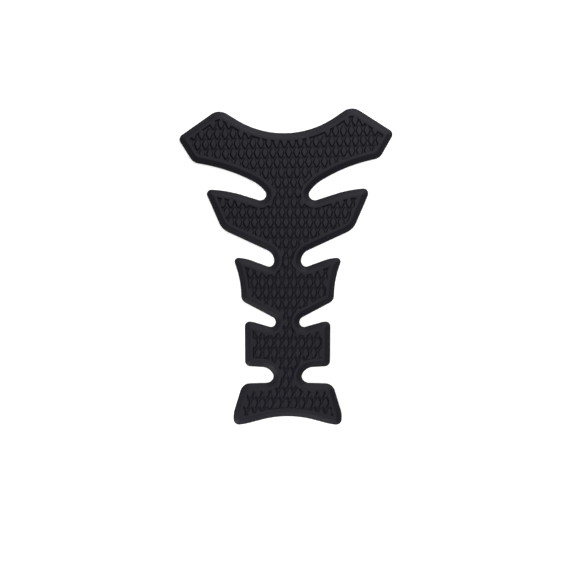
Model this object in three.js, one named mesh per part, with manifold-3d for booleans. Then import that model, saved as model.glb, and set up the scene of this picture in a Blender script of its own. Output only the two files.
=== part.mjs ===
// Motorcycle tank pad: one moulding of soft black rubber that is stuck by its flat back to the top of a
// fuel tank. Units are millimetres. The back lies in z = 0 and +Z points away from the tank, +Y points
// to the wide head, and the origin lies on the centre line at half of the pad's length.
import * as THREE from "three";
import Module from "manifold-3d";

// Section of the moulding, from the outer edge to the grooves of the grip pattern.
const padThickness = 3.5;
const edgeThickness = 1.0;
const slopeWidth = 3.2;
const landWidth = 1.9;
const grooveDepth = 1.1;
const grooveDraft = 0.65;

// Distances along the centre line between the ends of the four slots that part the five lobes.
const chestPitch = 44.0;
const waistPitch = 38.0;
const hipPitch = 34.0;

// Corners of the right half, in order from the top centre to the bottom centre. Each one is measured
// from the slot beside it: "out" from the centre line and "up" from the slot's end. "round" is the
// radius of the fillet that turns the corner into an arc.
const cornersAtSlot1 = {
  headNotch: { out: 0, up: 27.5, round: 57 },
  headHorn: { out: 42.1, up: 54.8, round: 9 },
  headTip: { out: 68.6, up: 37.0, round: 3.5 },
  headHeel: { out: 59.1, up: 21.2, round: 7.5 },
  headSweep: { out: 36.9, up: 16.6, round: 108 },
  headRoot: { out: 17.4, up: 5.8, round: 26 },
  slotEnd: { out: 13.0, up: 0, round: 3.5 },
  chestRoot: { out: 15.2, up: -4.9, round: 4 },
  chestSway: { out: 37.8, up: 2.2, round: 78 },
  chestTip: { out: 52.8, up: 3.4, round: 3 },
};
const cornersAtSlot2 = {
  chestHeel: { out: 41.6, up: 21.5, round: 12 },
  chestFoot: { out: 9.1, up: 6.5, round: 8 },
  slotEnd: { out: 8.3, up: 0, round: 4.5 },
  waistRoot: { out: 11.2, up: -2.4, round: 3 },
  waistSway: { out: 26.8, up: 3.3, round: 29 },
  waistTip: { out: 34.5, up: 3.7, round: 2.5 },
};
const cornersAtSlot3 = {
  waistSide: { out: 29.6, up: 26.7, round: 59 },
  waistHeel: { out: 29.3, up: 14.4, round: 5.5 },
  waistFoot: { out: 6.6, up: 2.4, round: 3.5 },
  hipRoot: { out: 8.8, up: -2.8, round: 3 },
  hipSway: { out: 22.0, up: 1.0, round: 13 },
  hipTip: { out: 27.1, up: 1.5, round: 3 },
};
const cornersAtSlot4 = {
  hipHeel: { out: 26.9, up: 7.0, round: 3.5 },
  hipFoot: { out: 11.4, up: 6.1, round: 8 },
  slotEnd: { out: 8.3, up: 0, round: 3.5 },
  footRoot: { out: 11.4, up: -3.5, round: 5 },
  footShoulder: { out: 28.5, up: -4.0, round: 6.5 },
  footSide: { out: 34.4, up: -23.0, round: 15 },
  footTip: { out: 34.0, up: -30.5, round: 3.5 },
  footSway: { out: 26.6, up: -29.6, round: 40 },
  footNotch: { out: 0, up: -22.6, round: 64 },
};

// Raised lozenges of the grip pattern, in staggered rows. Their tops are flush with the land. The
// roundness is a superellipse's exponent: 1 is a plain rhombus and 2 an ellipse.
const lozengeLength = 6.3;
const lozengeWidth = 3.2;
const lozengeRoundness = 1.25;
const columnPitch = 4.98;
const rowPitch = 6.33;
const patternRight = 1.5;
const patternUp = 3.0;

// A lozenge is left out where only its rim, past this share of the way to its centre, reaches the field.
const coreShare = 0.5;

// The soft head lies swung a little to the left, which starts and ends at these heights.
const headSwing = 1.4;
const swingStart = 39.5;
const swingEnd = 66.0;

// Fineness of the mesh. Points that lie nearer together than samePoint count as one.
const outlineStep = 0.8;
const arcStepDegrees = 8;
const outlineTolerance = 0.08;
const samePoint = 0.01;
const lozengeSides = 8;

// Smallest half width of a sloped top or of the pattern where a neck is too narrow for its rims.
const ridgeHalfWidth = 0.25;

// Height by which the cutting solids stand past the faces that they cut.
const cutMargin = 0.5;

const wasm = await Module();
wasm.setup();

// Corners with their places in the pad's own plane.
function cornersFrom(slotHeight, corners) {
  return Object.values(corners).map(({ out, up, round }) => {
    return { point: new THREE.Vector2(out, slotHeight + up), round };
  });
}

function mirrored(corner) {
  return { point: new THREE.Vector2(-corner.point.x, corner.point.y), round: corner.round };
}

// Unit vectors from a corner along its two sides, half of the angle between them, and how far along
// the sides the fillet reaches.
function cornerShape(previous, corner, next) {
  const back = previous.point.clone().sub(corner.point);
  const ahead = next.point.clone().sub(corner.point);
  const backLength = back.length();
  const aheadLength = ahead.length();
  back.normalize();
  ahead.normalize();
  const halfAngle = Math.acos(THREE.MathUtils.clamp(back.dot(ahead), -1, 1)) / 2;
  const reach = corner.round / Math.tan(halfAngle);
  return { point: corner.point, back, ahead, backLength, aheadLength, halfAngle, reach };
}

// Two fillets share a side in proportion where it is too short for both of them.
function shareSides(shapes) {
  return shapes.map((shape, i) => {
    const before = (shapes[i - 1] ?? shapes[1]).reach;
    const after = (shapes[i + 1] ?? shapes.at(-2)).reach;
    const backShare = shape.backLength / (before + shape.reach);
    const aheadShare = shape.aheadLength / (after + shape.reach);
    return { ...shape, reach: shape.reach * Math.min(1, backShare, aheadShare) };
  });
}

// Points of a corner's fillet, from part "from" to part "to" of its arc.
function filletPoints(shape, from, to) {
  const { point, back, ahead, halfAngle, reach } = shape;
  const radius = reach * Math.tan(halfAngle);
  const centre = back.clone().add(ahead).normalize();
  centre.multiplyScalar(reach / Math.cos(halfAngle)).add(point);
  const start = point.clone().addScaledVector(back, reach).sub(centre);
  const turn = Math.sign(back.cross(ahead)) * (Math.PI - 2 * halfAngle);
  const stepAngle = Math.min(THREE.MathUtils.degToRad(arcStepDegrees), outlineStep / radius);
  const steps = Math.max(1, Math.ceil(((to - from) * Math.abs(turn)) / stepAngle));
  return Array.from({ length: steps + 1 }, (_, i) => {
    const angle = -turn * (from + ((to - from) * i) / steps);
    return start.clone().rotateAround(new THREE.Vector2(), angle).add(centre);
  });
}

// Right half of the outline, from the top centre to the bottom centre, in short steps.
function roundedHalf(corners) {
  const chain = [mirrored(corners[1]), ...corners, mirrored(corners.at(-2))];
  const shapes = corners.map((corner, i) => cornerShape(chain[i], corner, chain[i + 2]));
  const half = [];
  for (const [i, shape] of shareSides(shapes).entries()) {
    const from = i === 0 ? 0.5 : 0;
    const to = i === corners.length - 1 ? 0.5 : 1;
    const fillet = filletPoints(shape, from, to);
    if (half.length > 0) {
      const start = half.at(-1);
      const side = start.distanceTo(fillet[0]);
      const steps = Math.ceil(side / outlineStep);
      for (let step = 1; step < steps; step += 1) {
        half.push(start.clone().lerp(fillet[0], step / steps));
      }
      if (side < samePoint) {
        fillet.shift();
      }
    }
    half.push(...fillet);
  }
  return half;
}

function distanceToSegment(point, start, end) {
  const along = end.clone().sub(start);
  const share = point.clone().sub(start).dot(along) / Math.max(along.lengthSq(), Number.EPSILON);
  return point.distanceTo(start.clone().addScaledVector(along, THREE.MathUtils.clamp(share, 0, 1)));
}

// Where the segment from a to b meets the one from c to d, or nothing.
function crossing(a, b, c, d) {
  const first = b.clone().sub(a);
  const second = d.clone().sub(c);
  const offset = c.clone().sub(a);
  const area = first.cross(second);
  const alongFirst = offset.cross(second) / area;
  const alongSecond = offset.cross(first) / area;
  const meets = alongFirst >= 0 && alongFirst <= 1 && alongSecond >= 0 && alongSecond <= 1;
  return meets ? a.clone().addScaledVector(first, alongFirst) : undefined;
}

// The half outline moved inwards by a distance. Each point keeps the number of the outline point it
// comes from. Round a tight corner the moved points would come nearer to the edge than the distance:
// they give way to the point where the lines on either side of them meet.
function insetHalf(half, distance) {
  const last = half.length - 1;
  const moved = half.map((point, i) => {
    const before = i === 0 ? new THREE.Vector2(-half[1].x, half[1].y) : half[i - 1];
    const after = i === last ? new THREE.Vector2(-half[i - 1].x, half[i - 1].y) : half[i + 1];
    const along = after.clone().sub(before).normalize();
    return point.clone().add(new THREE.Vector2(along.y, -along.x).multiplyScalar(distance));
  });
  // The outline turns in small steps, which brings its own moved points this much nearer to it.
  const stepLoss = distance * (1 - Math.cos(THREE.MathUtils.degToRad(arcStepDegrees / 2)));
  const clear = moved.map((point) => {
    const nearest = half.slice(1).map((end, i) => distanceToSegment(point, half[i], end));
    return Math.min(...nearest) >= distance - stepLoss - samePoint;
  });
  const kept = moved.map((point, number) => ({ point, number })).filter(({ number }) => clear[number]);
  const run = [];
  for (const [i, { point, number }] of kept.entries()) {
    const previous = kept[i - 1];
    if (previous && number > previous.number + 1) {
      const skipped = [moved[previous.number + 1], moved[number - 1]];
      const meeting = crossing(previous.point, skipped[0], skipped[1], point);
      if (meeting) {
        run.push({ point: meeting, number: (previous.number + number) / 2 });
      }
    }
    run.push({ point, number });
  }
  for (const { point, number } of run) {
    if (number > 0 && number < last) {
      point.x = Math.max(point.x, ridgeHalfWidth);
    }
  }
  return run;
}

// Leaves out the points of a run that lie within the tolerance of the line through the others.
function simplified(run) {
  if (run.length < 3) {
    return run;
  }
  const gaps = run.map(({ point }) => distanceToSegment(point, run[0].point, run.at(-1).point));
  const widest = Math.max(...gaps);
  if (widest <= outlineTolerance) {
    return [run[0], run.at(-1)];
  }
  const split = gaps.indexOf(widest);
  return [...simplified(run.slice(0, split + 1)).slice(0, -1), ...simplified(run.slice(split))];
}

// Closed loop of a half run and its mirror image, clockwise from the top centre. The numbers go on
// rising through the left half, so that loops at different insets can be matched.
function loopOf(run, outlineLength) {
  const left = run.slice(1, -1).reverse().map(({ point, number }) => {
    return { point: new THREE.Vector2(-point.x, point.y), number: 2 * outlineLength - number };
  });
  return [...run, ...left];
}

// Solid through a stack of clockwise loops at rising heights, closed by a flat face at each end.
function stackedSolid(levels) {
  const vertices = levels.flatMap(({ loop, height }) => {
    return loop.flatMap(({ point }) => [point.x, point.y, height]);
  });
  const triangles = [];
  const addCap = (loop, first, facesUp) => {
    const contour = loop.map(({ point }) => point);
    for (const [a, b, c] of THREE.ShapeUtils.triangulateShape(contour, [])) {
      const area = contour[b].clone().sub(contour[a]).cross(contour[c].clone().sub(contour[a]));
      const ordered = area > 0 === facesUp ? [a, b, c] : [a, c, b];
      triangles.push(...ordered.map((index) => first + index));
    }
  };
  addCap(levels[0].loop, 0, false);
  let lowerFirst = 0;
  for (let level = 1; level < levels.length; level += 1) {
    const lower = levels[level - 1].loop;
    const upper = levels[level].loop;
    const upperFirst = lowerFirst + lower.length;
    let i = 0;
    let j = 0;
    while (i < lower.length || j < upper.length) {
      const lowerNext = lower[i + 1]?.number ?? Infinity;
      const upperNext = upper[j + 1]?.number ?? Infinity;
      const a = lowerFirst + (i % lower.length);
      const b = upperFirst + (j % upper.length);
      if (i < lower.length && (j === upper.length || lowerNext <= upperNext)) {
        i += 1;
        triangles.push(a, b, lowerFirst + (i % lower.length));
      } else {
        j += 1;
        triangles.push(a, b, upperFirst + (j % upper.length));
      }
    }
    lowerFirst = upperFirst;
  }
  addCap(levels.at(-1).loop, lowerFirst, true);
  const mesh = new wasm.Mesh({
    numProp: 3,
    vertProperties: new Float32Array(vertices),
    triVerts: new Uint32Array(triangles),
  });
  return new wasm.Manifold(mesh);
}

// Clockwise superellipse round a lozenge's centre, made larger all round by "margin".
function lozengeLoop(centre, margin) {
  const sides = Array.from({ length: lozengeSides }, (_, i) => {
    const angle = (2 * Math.PI * i) / lozengeSides;
    const shape = (value) => Math.sign(value) * Math.abs(value) ** (2 / lozengeRoundness);
    const x = (lozengeWidth / 2) * shape(Math.sin(angle));
    const y = (lozengeLength / 2) * shape(Math.cos(angle));
    return new THREE.Vector2(x, y);
  });
  return sides.map((point, i) => {
    const before = point.clone().sub(sides.at(i - 1)).normalize();
    const after = sides[(i + 1) % lozengeSides].clone().sub(point).normalize();
    const mitre = before.clone().add(after).normalize();
    const outwards = new THREE.Vector2(-mitre.y, mitre.x).multiplyScalar(margin / mitre.dot(after));
    return { point: point.clone().add(outwards).add(centre), number: i };
  });
}

function isInside(point, loop) {
  let inside = false;
  for (const [i, { point: end }] of loop.entries()) {
    const start = loop.at(i - 1).point;
    const straddles = start.y > point.y !== end.y > point.y;
    const share = (point.y - start.y) / (end.y - start.y);
    if (straddles && point.x < start.x + share * (end.x - start.x)) {
      inside = !inside;
    }
  }
  return inside;
}

// Lozenges that lie in the field or reach into it, as solids with sloping flanks.
function lozengeSolids(field, grooveFloor) {
  const extent = new THREE.Box2().setFromPoints(field.map(({ point }) => point));
  const firstRow = Math.floor((extent.min.y - patternUp) / rowPitch);
  const lastRow = Math.ceil((extent.max.y - patternUp) / rowPitch);
  const solids = [];
  for (let row = firstRow; row <= lastRow; row += 1) {
    const shift = patternRight + (row % 2 === 0 ? columnPitch / 2 : 0);
    const firstColumn = Math.floor((extent.min.x - shift) / columnPitch);
    const lastColumn = Math.ceil((extent.max.x - shift) / columnPitch);
    for (let column = firstColumn; column <= lastColumn; column += 1) {
      const centre = new THREE.Vector2(shift + column * columnPitch, patternUp + row * rowPitch);
      const top = lozengeLoop(centre, 0);
      const foot = lozengeLoop(centre, grooveDraft);
      const core = lozengeLoop(centre, 0).map(({ point }) => point.lerp(centre, coreShare));
      if (core.some((point) => isInside(point, field))) {
        solids.push(stackedSolid([
          { loop: foot, height: grooveFloor - cutMargin },
          { loop: foot, height: grooveFloor },
          { loop: top, height: padThickness },
          { loop: top, height: padThickness + 2 * cutMargin },
        ]));
      }
    }
  }
  return solids;
}

function joined(solids) {
  if (solids.length === 1) {
    return solids[0];
  }
  const middle = Math.floor(solids.length / 2);
  return joined(solids.slice(0, middle)).add(joined(solids.slice(middle)));
}

// Turns the head in its own plane about the centre line, more and more from one height to the other.
function swingHead(x, y) {
  const share = THREE.MathUtils.smoothstep(y, swingStart, swingEnd);
  const pivot = new THREE.Vector2(0, swingStart);
  return new THREE.Vector2(x, y).rotateAround(pivot, THREE.MathUtils.degToRad(headSwing) * share);
}

function padGeometry() {
  const corners = [
    ...cornersFrom(0, cornersAtSlot1),
    ...cornersFrom(-chestPitch, cornersAtSlot2),
    ...cornersFrom(-chestPitch - waistPitch, cornersAtSlot3),
    ...cornersFrom(-chestPitch - waistPitch - hipPitch, cornersAtSlot4),
  ];
  const half = roundedHalf(corners);
  const heights = half.map((point) => point.y);
  const middle = (Math.max(...heights) + Math.min(...heights)) / 2;
  for (const point of half) {
    point.y -= middle;
  }
  const outlineLength = half.length - 1;
  const loopAt = (distance) => loopOf(simplified(insetHalf(half, distance)), outlineLength);

  const edge = loopAt(0);
  const body = stackedSolid([
    { loop: edge, height: 0 },
    { loop: edge, height: edgeThickness },
    { loop: loopAt(slopeWidth), height: padThickness },
  ]);

  const grooveFloor = padThickness - grooveDepth;
  const field = loopAt(slopeWidth + landWidth);
  const recess = stackedSolid([
    { loop: loopAt(slopeWidth + landWidth + grooveDraft), height: grooveFloor },
    { loop: field, height: padThickness },
    { loop: field, height: padThickness + cutMargin },
  ]);
  const grooves = recess.subtract(joined(lozengeSolids(field, grooveFloor)));
  const { vertProperties, triVerts } = body.subtract(grooves).getMesh();

  for (let i = 0; i < vertProperties.length; i += 3) {
    const swung = swingHead(vertProperties[i], vertProperties[i + 1]);
    vertProperties[i] = swung.x;
    vertProperties[i + 1] = swung.y;
  }
  const geometry = new THREE.BufferGeometry();
  geometry.setAttribute("position", new THREE.BufferAttribute(vertProperties, 3));
  geometry.setIndex(new THREE.BufferAttribute(triVerts, 1));
  geometry.computeVertexNormals();
  return geometry;
}

const rubber = new THREE.MeshStandardMaterial({ color: 0x2b2b30, roughness: 0.65, metalness: 0 });

const pad = new THREE.Mesh(padGeometry(), rubber);
pad.name = "tank_pad";

const tankPad = new THREE.Group();
tankPad.add(pad);

export default tankPad;
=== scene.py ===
import math

import bpy
import numpy as np
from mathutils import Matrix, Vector, geometry, kdtree


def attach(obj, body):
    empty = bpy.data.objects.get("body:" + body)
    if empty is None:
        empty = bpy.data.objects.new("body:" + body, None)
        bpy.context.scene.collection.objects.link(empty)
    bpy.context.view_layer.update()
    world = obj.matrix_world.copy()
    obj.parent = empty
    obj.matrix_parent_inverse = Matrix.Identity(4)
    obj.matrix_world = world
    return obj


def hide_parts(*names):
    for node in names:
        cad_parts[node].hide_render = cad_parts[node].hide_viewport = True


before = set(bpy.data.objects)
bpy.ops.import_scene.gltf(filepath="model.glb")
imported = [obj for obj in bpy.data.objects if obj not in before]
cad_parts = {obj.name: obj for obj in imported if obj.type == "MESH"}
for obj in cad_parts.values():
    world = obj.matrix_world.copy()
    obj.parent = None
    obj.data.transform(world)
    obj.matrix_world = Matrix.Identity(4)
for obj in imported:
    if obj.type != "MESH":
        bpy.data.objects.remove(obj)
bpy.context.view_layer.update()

# Tank pad: one moulding of soft black rubber, 3.5 mm thick, with five lobes along a spine, a sloped rim
# and raised lozenges that keep a rider's jacket from sliding. It is pressed in a heated mould and stuck
# to the painted top of the fuel tank by its flat back. Its sizes are in millimetres.
pad_thickness = 3.5
edge_thickness = 1.0
slope_width = 3.2
land_width = 1.9
groove_depth = 1.1
groove_draft = 0.65

# Distances along the centre line between the ends of the four slots that part the five lobes.
chest_pitch = 44.0
waist_pitch = 38.0
hip_pitch = 34.0

# Corners of the right half from the top centre to the bottom centre. Each is measured from the end of
# the slot beside it, as (out from the centre line, up from the slot's end, radius of its fillet).
head_and_chest_corners = {
    "head_notch": (0.0, 27.5, 57.0),
    "head_horn": (42.1, 54.8, 9.0),
    "head_tip": (68.6, 37.0, 3.5),
    "head_heel": (59.1, 21.2, 7.5),
    "head_sweep": (36.9, 16.6, 108.0),
    "head_root": (17.4, 5.8, 26.0),
    "slot_end": (13.0, 0.0, 3.5),
    "chest_root": (15.2, -4.9, 4.0),
    "chest_sway": (37.8, 2.2, 78.0),
    "chest_tip": (52.8, 3.4, 3.0),
}
chest_and_waist_corners = {
    "chest_heel": (41.6, 21.5, 12.0),
    "chest_foot": (9.1, 6.5, 8.0),
    "slot_end": (8.3, 0.0, 4.5),
    "waist_root": (11.2, -2.4, 3.0),
    "waist_sway": (26.8, 3.3, 29.0),
    "waist_tip": (34.5, 3.7, 2.5),
}
waist_and_hip_corners = {
    "waist_side": (29.6, 26.7, 59.0),
    "waist_heel": (29.3, 14.4, 5.5),
    "waist_foot": (6.6, 2.4, 3.5),
    "hip_root": (8.8, -2.8, 3.0),
    "hip_sway": (22.0, 1.0, 13.0),
    "hip_tip": (27.1, 1.5, 3.0),
}
hip_and_foot_corners = {
    "hip_heel": (26.9, 7.0, 3.5),
    "hip_foot": (11.4, 6.1, 8.0),
    "slot_end": (8.3, 0.0, 3.5),
    "foot_root": (11.4, -3.5, 5.0),
    "foot_shoulder": (28.5, -4.0, 6.5),
    "foot_side": (34.4, -23.0, 15.0),
    "foot_tip": (34.0, -30.5, 3.5),
    "foot_sway": (26.6, -29.6, 40.0),
    "foot_notch": (0.0, -22.6, 64.0),
}


def corners_from(slot_height, named_corners):
    """Corners in the pad's plane, as complex numbers, with the radius of each."""
    return [(complex(out, slot_height + up), radius) for out, up, radius in named_corners.values()]


def mirrored(point):
    """The same point on the other side of the centre line."""
    return -point.conjugate()


def unit(vector):
    """The vector with a length of 1."""
    return vector / abs(vector)


def rounded_half(corners, longest_step, widest_turn):
    """Right half of the outline with its corners turned into arcs, in short steps."""
    points = [point for point, _ in corners]
    chain = [mirrored(points[1]), *points, mirrored(points[-2])]
    backs = [before - point for before, point in zip(chain, points)]
    aheads = [after - point for after, point in zip(chain[2:], points)]
    half_angles = [abs(np.angle(back / ahead)) / 2 for back, ahead in zip(backs, aheads)]
    reaches = [radius / math.tan(angle) for (_, radius), angle in zip(corners, half_angles)]
    half = []
    for number, corner in enumerate(points):
        back, ahead, half_angle = backs[number], aheads[number], half_angles[number]
        # Two fillets share a side in proportion where it is too short for both of them.
        before = reaches[abs(number - 1)]
        after = reaches[number + 1] if number + 1 < len(points) else reaches[-2]
        reach = reaches[number]
        reach *= min(1, abs(back) / (before + reach), abs(ahead) / (after + reach))
        radius = reach * math.tan(half_angle)
        centre = corner + unit(unit(back) + unit(ahead)) * reach / math.cos(half_angle)
        start = corner + unit(back) * reach - centre
        turn = math.copysign(math.pi - 2 * half_angle, np.angle(back / ahead))
        # The arcs at the two ends lie on the centre line, and only a half of each is on the right.
        first = 0.5 if number == 0 else 0.0
        last = 0.5 if number == len(points) - 1 else 1.0
        step_turn = min(widest_turn, longest_step / radius)
        step_count = max(1, math.ceil((last - first) * abs(turn) / step_turn))
        shares = np.linspace(first, last, step_count + 1)
        arc = list(centre + start * np.exp(1j * turn * shares))
        if half:
            side = arc[0] - half[-1]
            side_steps = max(1, math.ceil(abs(side) / longest_step))
            half += [half[-1] + side * step / side_steps for step in range(1, side_steps)]
            # Where two arcs meet, they share a point.
            if abs(side) < longest_step / 10:
                arc = arc[1:]
        half += arc
    return half


outline_step = 0.55
outline_turn = math.radians(7)
half = rounded_half(
    corners_from(0, head_and_chest_corners)
    + corners_from(-chest_pitch, chest_and_waist_corners)
    + corners_from(-chest_pitch - waist_pitch, waist_and_hip_corners)
    + corners_from(-chest_pitch - waist_pitch - hip_pitch, hip_and_foot_corners),
    outline_step,
    outline_turn,
)
outline = np.array(half + [mirrored(point) for point in half[-2:0:-1]])
outline -= 1j * (outline.imag.max() + outline.imag.min()) / 2

outline_tree = kdtree.KDTree(len(outline))
for number, point in enumerate(outline):
    outline_tree.insert((point.real, point.imag, 0), number)
outline_tree.balance()


def segment_distance(points, start, end):
    """Distance of points from straight segments between two points."""
    along = end - start
    share = np.clip(((points - start) * along.conjugate()).real / abs(along) ** 2, 0, 1)
    return abs(points - start - share * along)


def nearest_on_outline(points):
    """Numbers of the outline points that lie nearest to the given ones."""
    return np.array([outline_tree.find((point.real, point.imag, 0))[1] for point in points])


def edge_distance(points):
    """Distance of points inside the pad from its outline."""
    nearest = nearest_on_outline(points)
    before = outline[nearest - 1]
    at = outline[nearest]
    after = outline[(nearest + 1) % len(outline)]
    return np.minimum(segment_distance(points, before, at), segment_distance(points, at, after))


# Raised lozenges in staggered rows, flush with the land of the rim. Their outline is a superellipse: an
# exponent of 1 is a plain rhombus and 2 an ellipse. The pattern lies a little off the centre line.
lozenge_length = 6.3
lozenge_width = 3.2
lozenge_exponent = 1.25
column_pitch = 4.98
row_pitch = 6.33
pattern_right = 1.5
pattern_up = 3.0
core_share = 0.5
field_inset = slope_width + land_width


def lozenge_quarter(normal_angles):
    """Points of a lozenge from its upper tip to its right side, where its outline faces those ways."""
    slant = np.tan(normal_angles) * lozenge_width / lozenge_length
    angle = np.arctan(slant ** (lozenge_exponent / (2 * lozenge_exponent - 2)))
    x = lozenge_width / 2 * np.sin(angle) ** (2 / lozenge_exponent)
    y = lozenge_length / 2 * np.cos(angle) ** (2 / lozenge_exponent)
    return x + 1j * y


# Directions that a quarter of the outline faces, from its upper tip to its right side.
quarter_facings = np.radians([0, 20, 40, 50, 58, 66, 75, 90])
quarter = lozenge_quarter(quarter_facings)
quarter_normals = np.sin(quarter_facings) + 1j * np.cos(quarter_facings)


def four_quarters(values):
    """Values on one quarter of a lozenge, carried round all four quarters clockwise."""
    right = np.concatenate([values, values[-2::-1].conjugate()])
    return np.concatenate([right, -right[-2:0:-1].conjugate()])


lozenge = four_quarters(quarter)
lozenge_normals = four_quarters(quarter_normals)


def lozenge_centre(row, column):
    """Middle of a lozenge by its place in the staggered rows."""
    shift = pattern_right + np.where(row % 2 == 0, column_pitch / 2, 0)
    return shift + column * column_pitch + 1j * (pattern_up + row * row_pitch)


def inside_outline(points):
    """Whether points lie inside the outline, by the crossings of a level line to their right."""
    starts = outline[:, None]
    ends = np.roll(outline, -1)[:, None]
    straddles = (starts.imag > points.imag) != (ends.imag > points.imag)
    rise = np.where(straddles, ends.imag - starts.imag, 1)
    crossing = starts.real + (points.imag - starts.imag) / rise * (ends.real - starts.real)
    return (straddles & (points.real < crossing)).sum(axis=0) % 2 == 1


# A lozenge is left out where not even its core, a share of its size, reaches past the land of the rim.
last_row = math.ceil(outline.imag.max() / row_pitch) + 1
last_column = math.ceil(outline.real.max() / column_pitch) + 1
rows, columns = np.mgrid[-last_row:last_row + 1, -last_column:last_column + 1]
centres = lozenge_centre(rows, columns)
cores = centres[..., None] + lozenge * core_share
reached = np.zeros(cores.shape, bool)
in_pad = inside_outline(cores.ravel()).reshape(cores.shape)
reached[in_pad] = edge_distance(cores[in_pad]) > field_inset
is_lozenge = reached.any(axis=-1)


def lozenge_distance(points):
    """Distance of points from the nearest lozenge, below zero inside it."""
    nearest_row = np.round((points.imag - pattern_up) / row_pitch).astype(int)
    least = np.full(len(points), np.inf)
    for row in (nearest_row - 1, nearest_row, nearest_row + 1):
        shift = lozenge_centre(row, 0).real
        column = np.round((points.real - shift) / column_pitch).astype(int)
        offset = points - lozenge_centre(row, column)
        folded = abs(offset.real) + 1j * abs(offset.imag)
        distance = np.full(len(points), np.inf)
        is_within = np.ones(len(points), bool)
        for start, end in zip(quarter, quarter[1:]):
            distance = np.minimum(distance, segment_distance(folded, start, end))
            is_within &= ((folded - start) * (end - start).conjugate()).imag < 0
        signed = np.where(is_within, -distance, distance)
        in_range = (abs(row) <= last_row) & (abs(column) <= last_column)
        is_there = np.zeros(len(points), bool)
        is_there[in_range] = is_lozenge[row[in_range] + last_row, column[in_range] + last_column]
        least = np.where(is_there, np.minimum(least, signed), least)
    return least


# Section of the rim, from the wall of the outer edge to the land: distance from the edge and height.
# The crease between the slope and the land is soft, and is drawn as a parabola.
edge_rounding = 0.35
crease_half_width = 0.7
crease_levels = 8
slope_rise = (pad_thickness - edge_thickness) / slope_width
edge_turns = np.radians([0, 22.5, 45, 67.5, 90])
edge_runs = edge_rounding * (1 - np.cos(edge_turns))
edge_heights = edge_thickness + slope_rise * edge_runs - edge_rounding * (1 - np.sin(edge_turns))
crease_start = slope_width - crease_half_width
crease_end = slope_width + crease_half_width
crease_runs = np.linspace(crease_start, crease_end, crease_levels)
crease_heights = pad_thickness - slope_rise * (crease_end - crease_runs) ** 2 / (4 * crease_half_width)
rim_runs = np.concatenate([edge_runs, [(edge_rounding + crease_start) / 2], crease_runs])
rim_heights = np.interp(
    rim_runs,
    np.concatenate([edge_runs, crease_runs]),
    np.concatenate([edge_heights, crease_heights]),
)

# Section of a groove's flank, from the top edge's rounding to the fillet at the floor: distance past
# the sharp edge and depth.
groove_edge_rounding = 0.3
groove_floor_fillet = 0.45
flank_angle = math.atan2(groove_depth, groove_draft)
flank_turns = flank_angle * np.array([0, 0.5, 1])
edge_tangent = groove_edge_rounding * math.tan(flank_angle / 2)
floor_tangent = groove_floor_fillet * math.tan(flank_angle / 2)
groove_runs = np.concatenate([
    groove_edge_rounding * np.sin(flank_turns) - edge_tangent,
    groove_draft + floor_tangent - groove_floor_fillet * np.sin(flank_turns[::-1]),
])
groove_depths = np.concatenate([
    groove_edge_rounding * (1 - np.cos(flank_turns)),
    groove_depth - groove_floor_fillet * (1 - np.cos(flank_turns[::-1])),
])


# The mesh follows level lines of the surface. Each is drawn one step past the place where another line
# takes over, so that the two cross in a clean corner.
plan_points = []
plan_edges = []


def draw_loop(points, holds):
    """Adds the parts of a closed loop that hold, and one step more at each end of them."""
    following = np.roll(np.arange(len(points)), -1)
    is_drawn = holds | holds[following]
    is_used = is_drawn | np.roll(is_drawn, 1)
    numbers = np.cumsum(is_used) - 1 + len(plan_points)
    plan_points.extend(points[is_used])
    plan_edges.extend(zip(numbers[is_drawn].tolist(), numbers[following][is_drawn].tolist()))


# The lines have short straight steps, so their points may lie this much nearer to the edge than asked.
slack = 0.02
tangents = np.roll(outline, -1) - np.roll(outline, 1)
inwards = -1j * tangents / abs(tangents)
for run in rim_runs:
    loop = outline + inwards * run
    draw_loop(loop, edge_distance(loop) >= run - slack)
for run in groove_runs:
    loop = outline + inwards * (field_inset + run)
    is_clear = edge_distance(loop) >= field_inset + run - slack
    draw_loop(loop, is_clear & (lozenge_distance(loop) >= run - slack))
for centre in centres[is_lozenge]:
    for run in groove_runs:
        loop = centre + lozenge + lozenge_normals * run
        is_inside = inside_outline(loop)
        in_field = edge_distance(loop) >= field_inset + run - slack
        draw_loop(loop, is_inside & in_field)

# Points nearer together than this are one, and a triangle with less area than this is only a line.
same_point = 1e-4
least_area = 1e-4


def triangles_between(points, edges):
    """Triangles that join points in the plane and keep to the edges, and the points they end up with."""
    plane_points = [Vector((point.real, point.imag)) for point in points]
    joined = geometry.delaunay_2d_cdt(plane_points, edges, [], 0, same_point, False)
    return np.array([complex(*point) for point in joined[0]]), np.array(joined[2])


# Triangles that have all of their corners on the outline lie outside it, in the slots.
surface_points, triangles = triangles_between(plan_points, plan_edges)
from_edge = edge_distance(surface_points)
is_outline = from_edge < edge_runs[1] / 2
triangles = triangles[~is_outline[triangles].all(axis=1)]
past_edge = np.minimum(from_edge - field_inset, lozenge_distance(surface_points))
heights = np.interp(from_edge, rim_runs, rim_heights) - np.interp(past_edge, groove_runs, groove_depths)

outline_numbers = np.arange(len(outline))
outline_edges = np.column_stack([outline_numbers, np.roll(outline_numbers, -1)])
back_points, back_triangles = triangles_between(outline, outline_edges.tolist())
first, second, third = back_points[back_triangles].T
is_flat_line = abs(((second - first).conjugate() * (third - first)).imag) < least_area
is_back = inside_outline((first + second + third) / 3) & ~is_flat_line
back_triangles = back_triangles[is_back, ::-1] + len(surface_points)
wall_tops = np.empty(len(outline), int)
wall_tops[nearest_on_outline(surface_points[is_outline])] = np.flatnonzero(is_outline)
wall_feet = np.empty(len(outline), int)
wall_feet[nearest_on_outline(back_points)] = np.arange(len(back_points)) + len(surface_points)
walls = np.column_stack([wall_tops, np.roll(wall_tops, -1), np.roll(wall_feet, -1), wall_feet])

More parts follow.
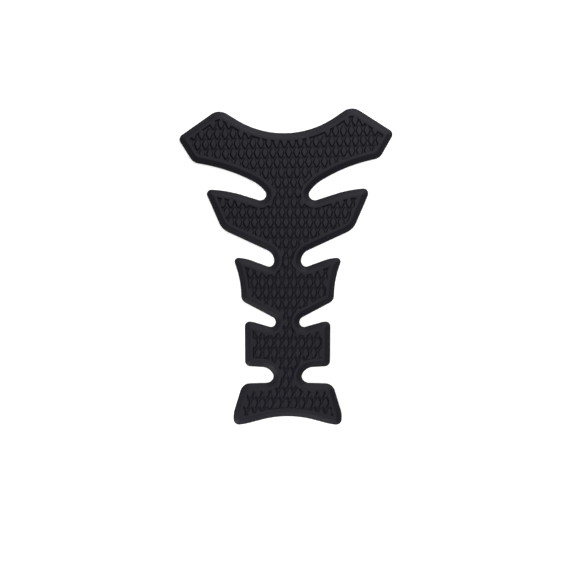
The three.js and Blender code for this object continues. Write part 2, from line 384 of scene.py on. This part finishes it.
# The soft head lies swung a little to the left, more and more from one height to the other.
head_swing = math.radians(1.4)
swing_start = 39.5
swing_end = 66.0
plane_points = np.concatenate([surface_points, back_points])
swing_share = np.clip((plane_points.imag - swing_start) / (swing_end - swing_start), 0, 1)
swing = head_swing * swing_share ** 2 * (3 - 2 * swing_share)
pivot = 1j * swing_start
plane_points = (plane_points - pivot) * np.exp(1j * swing) + pivot

millimetre = 0.001
sharp_edge_angle = math.radians(70)
heights = np.concatenate([heights, np.zeros(len(back_points))])
places = np.column_stack([plane_points.real, plane_points.imag, heights]) * millimetre
pad_mesh = bpy.data.meshes.new("moulded_tank_pad")
pad_mesh.from_pydata(places.tolist(), [], triangles.tolist() + walls.tolist() + back_triangles.tolist())
pad_mesh.shade_smooth()
pad_mesh.set_sharp_from_angle(angle=sharp_edge_angle)
pad = bpy.data.objects.new("moulded_tank_pad", pad_mesh)
bpy.context.collection.objects.link(pad)
weighting = pad.modifiers.new("broad faces lead the shading", "WEIGHTED_NORMAL")
weighting.keep_sharp = True


class Shade:
    """A value in a node tree. Python's operators on it add Math nodes."""

    def __init__(self, tree, socket=None):
        self.tree = tree
        self.socket = socket

    def add(self, kind, settings=None, inputs=None, output=0):
        """Adds a node, sets its settings, then its sockets' values or links, and gives an output."""
        node = self.tree.nodes.new(kind)
        for name, value in (settings or {}).items():
            setattr(node, name, value)
        for name, value in (inputs or {}).items():
            if isinstance(value, Shade):
                self.tree.links.new(value.socket, node.inputs[name])
            else:
                node.inputs[name].default_value = value
        return Shade(self.tree, node.outputs[output] if node.outputs else None)

    def math_node(self, operation, first, second):
        """Adds a Math node that works on two values."""
        return self.add("ShaderNodeMath", {"operation": operation}, {0: first, 1: second})

    def __add__(self, other):
        return self.math_node("ADD", self, other)

    __radd__ = __add__

    def __mul__(self, other):
        return self.math_node("MULTIPLY", self, other)

    __rmul__ = __mul__


def new_material(name):
    """An empty material and the start of its node tree."""
    material = bpy.data.materials.new(name)
    material.use_nodes = True
    material.node_tree.nodes.clear()
    return material, Shade(material.node_tree)


# The mould's walls are etched, which leaves a fine matt grain all over the rubber. The tone drifts a
# little over the moulding, as carbon black does in pressed rubber.
rubber_tone = (0.0080, 0.0070, 0.0122, 1)
rubber_tone_deep = (0.0068, 0.0059, 0.0106, 1)
tone_drift_scale = 60.0
tone_drift_detail = 4.0
grain_scale = 3200.0
grain_detail = 3.0
grain_height = 0.00005
grain_strength = 0.35
matt_roughness = 0.53
drift_roughness = 0.08
grain_roughness = 0.05
rubber_sheen_level = 0.21
rubber, shade = new_material("etched black rubber")
place = shade.add("ShaderNodeTexCoord", output="Object")
grain = shade.add(
    "ShaderNodeTexNoise",
    {"normalize": True},
    {"Vector": place, "Scale": grain_scale, "Detail": grain_detail},
)
tone_drift = shade.add(
    "ShaderNodeTexNoise",
    {"normalize": True},
    {"Vector": place, "Scale": tone_drift_scale, "Detail": tone_drift_detail},
)
tone = shade.add(
    "ShaderNodeMix",
    {"data_type": "RGBA"},
    {"Factor": tone_drift, 6: rubber_tone_deep, 7: rubber_tone},
    output=2,
)
grain_bump = shade.add(
    "ShaderNodeBump",
    None,
    {"Height": grain, "Strength": grain_strength, "Distance": grain_height},
)
surface = shade.add(
    "ShaderNodeBsdfPrincipled",
    None,
    {
        "Base Color": tone,
        "Roughness": matt_roughness + drift_roughness * tone_drift + grain_roughness * grain,
        "Specular IOR Level": rubber_sheen_level,
        "Normal": grain_bump,
    },
)
shade.add("ShaderNodeOutputMaterial", None, {"Surface": surface})
pad_mesh.materials.append(rubber)

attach(pad, "root")
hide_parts("tank_pad")

# Table top under the pad: a wide round sweep of white paper that turns up at its rim, clear from below
# so that the pad's flat back can be looked at too. Near the pad it is lit and keeps the pad's shadow,
# and its glow grows past the lamps' reach, so that it is white to its rim. Sizes are in metres from here.
paper_gap = 0.00002
paper_flat_radius = 3.0
paper_bend_radius = 2.0
paper_rise_angle = math.radians(38)
paper_rise_levels = 8
paper_white = (0.82, 0.82, 0.82, 1)
glow_near = 0.45
glow_far = 1.0
glow_starts = 0.1
glow_ends = 0.5
rise_angles = np.linspace(0, paper_rise_angle, paper_rise_levels)
ring_radii = paper_flat_radius + paper_bend_radius * np.sin(rise_angles)
ring_heights = paper_bend_radius * (1 - np.cos(rise_angles)) - paper_gap
ring_steps = 64
around = np.exp(2j * math.pi * np.arange(ring_steps) / ring_steps)
paper_points = [(0, 0, -paper_gap)]
for ring_radius, ring_height in zip(ring_radii, ring_heights):
    paper_points += [(point.real, point.imag, ring_height) for point in around * ring_radius]
paper_faces = []
for step in range(ring_steps):
    following = (step + 1) % ring_steps
    paper_faces.append((0, 1 + step, 1 + following))
    for ring in range(len(ring_radii) - 1):
        inner = 1 + ring * ring_steps
        outer = inner + ring_steps
        paper_faces.append((inner + step, outer + step, outer + following, inner + following))
paper_mesh = bpy.data.meshes.new("paper_sweep")
paper_mesh.from_pydata(paper_points, [], paper_faces)
paper_mesh.shade_smooth()
paper_sweep = bpy.data.objects.new("paper_sweep", paper_mesh)
bpy.context.collection.objects.link(paper_sweep)
white_paper, shade = new_material("white paper")
place = shade.add("ShaderNodeTexCoord", output="Object")
distance = shade.add("ShaderNodeVectorMath", {"operation": "LENGTH"}, {0: place}, "Value")
far = shade.add(
    "ShaderNodeMapRange",
    {"interpolation_type": "SMOOTHSTEP"},
    {"Value": distance, "From Min": glow_starts, "From Max": glow_ends},
)
is_camera = shade.add("ShaderNodeLightPath", output="Is Camera Ray")
is_glossy = shade.add("ShaderNodeLightPath", output="Is Glossy Ray")
is_through = shade.add("ShaderNodeLightPath", output="Is Transmission Ray")
is_seen = is_camera + is_glossy + is_through
glow = shade.add(
    "ShaderNodeEmission", None, {"Strength": is_seen * (glow_near + (glow_far - glow_near) * far)}
)
paper = shade.add("ShaderNodeBsdfDiffuse", None, {"Color": paper_white})
lit_paper = shade.add("ShaderNodeAddShader", None, {0: paper, 1: glow})
from_below = shade.add("ShaderNodeNewGeometry", output="Backfacing")
clear = shade.add("ShaderNodeBsdfTransparent")
surface = shade.add("ShaderNodeMixShader", None, {"Fac": from_below, 1: lit_paper, 2: clear})
shade.add("ShaderNodeOutputMaterial", None, {"Surface": surface})
paper_mesh.materials.append(white_paper)

# Studio: a dim grey room with three round soft lamps, low past the head and the foot of the pad and
# high above it. The low ones bring out the slopes and the grooves, the high one lights the flat tops.
room_grey = (0.05, 0.05, 0.05, 1)
world = bpy.data.worlds.new("dim room")
world.use_nodes = True
world.node_tree.nodes.clear()
shade = Shade(world.node_tree)
room = shade.add("ShaderNodeBackground", None, {"Color": room_grey})
shade.add("ShaderNodeOutputWorld", None, {"Surface": room})
bpy.context.scene.world = world


def add_soft_lamp(name, place, aim, width, spread, power):
    """A round soft lamp that points to a place on the table and spreads its light over an angle."""
    lamp = bpy.data.lights.new(name, "AREA")
    lamp.shape = "DISK"
    lamp.size = width
    lamp.spread = math.radians(spread)
    lamp.energy = power
    holder = bpy.data.objects.new(name, lamp)
    holder.location = place
    holder.rotation_euler = (Vector(aim) - Vector(place)).to_track_quat("-Z", "Y").to_euler()
    bpy.context.collection.objects.link(holder)


add_soft_lamp(
    "head_lamp", place=(0.11, 0.36, 0.27), aim=(0, 0.08, 0), width=0.3, spread=180, power=1.6
)
add_soft_lamp(
    "foot_lamp", place=(-0.13, -0.26, 0.10), aim=(-0.02, -0.13, 0), width=0.16, spread=48, power=0.082
)
add_soft_lamp(
    "high_lamp", place=(0, 0.10, 0.75), aim=(0, 0, 0), width=0.35, spread=180, power=2.6
)

# Camera: straight above the pad. The picture shows a square of table as wide as frame_width, with its
# middle at view_right and view_up.
lens_length = 100.0
film_width = 36.0
frame_width = 0.3646
view_right = 0.00025
view_up = -0.0131
camera_data = bpy.data.cameras.new("camera")
camera_data.lens = lens_length
camera_data.sensor_width = film_width
camera = bpy.data.objects.new("camera", camera_data)
camera.location = (view_right, view_up, frame_width * lens_length / film_width)
bpy.context.collection.objects.link(camera)
bpy.context.scene.camera = camera
bpy.context.scene.view_settings.view_transform = "Standard"
